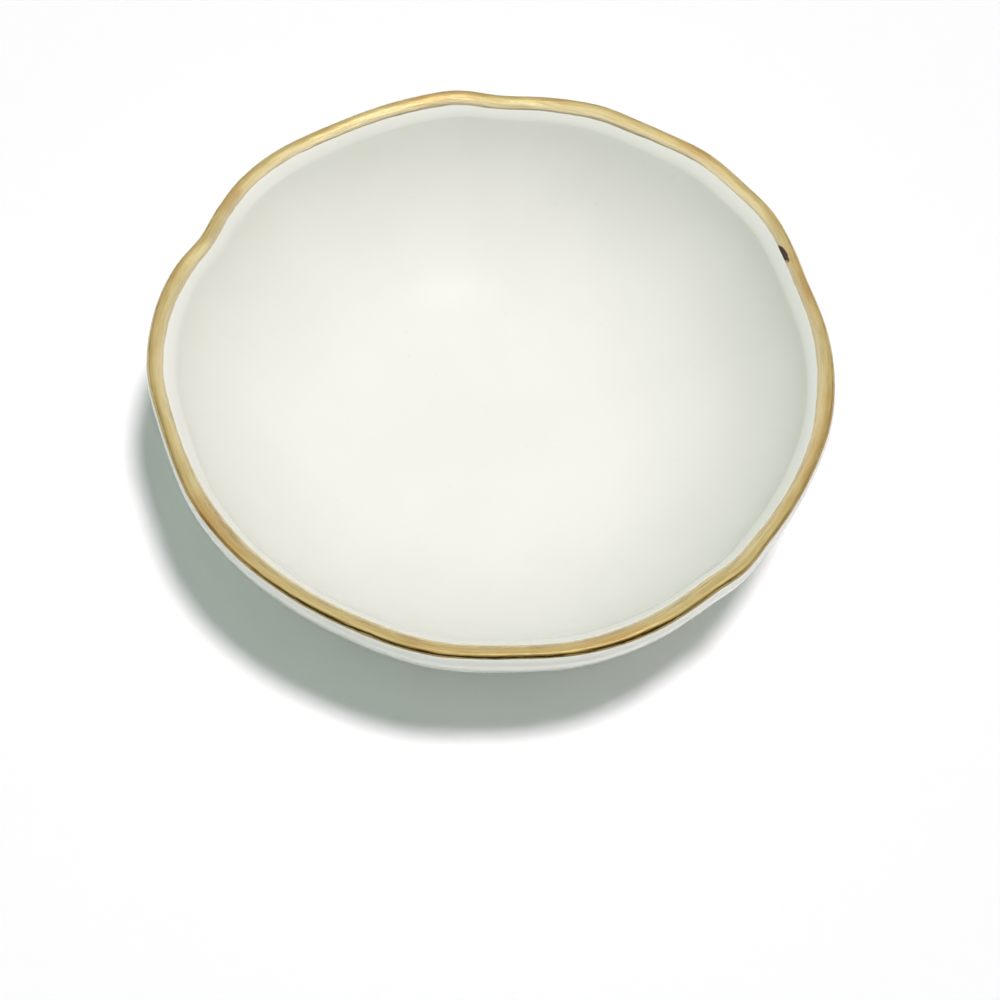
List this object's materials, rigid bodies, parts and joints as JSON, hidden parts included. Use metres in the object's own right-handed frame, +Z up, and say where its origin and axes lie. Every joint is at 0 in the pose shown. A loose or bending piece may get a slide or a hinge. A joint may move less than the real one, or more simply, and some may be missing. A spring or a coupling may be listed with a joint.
{
  "type": "ring dish",
  "caption": "Small round white glazed ceramic ring dish with a hand-formed wavy rim, a gold lustre band over the lip and a bare clay foot ring.",
  "frame": {"origin": "on the plane that the foot ring stands on, under the middle of the rim's outline", "axes": "+Z up out of the dish's mouth, +X to the right and +Y away from the viewer in the picture"},
  "size_m": [0.0796, 0.0788, 0.0211],
  "materials": {
    "white_clay": "matte fired clay",
    "white_glaze": "gloss glaze",
    "gold_lustre": "gloss fired lustre"
  },
  "bodies": {
    "root": {"clay_bowl": "white_clay", "foot_ring": "white_clay", "glaze_coat": "white_glaze", "base_glaze": "white_glaze", "gold_rim_band": "gold_lustre"}
  },
  "joints": []
}
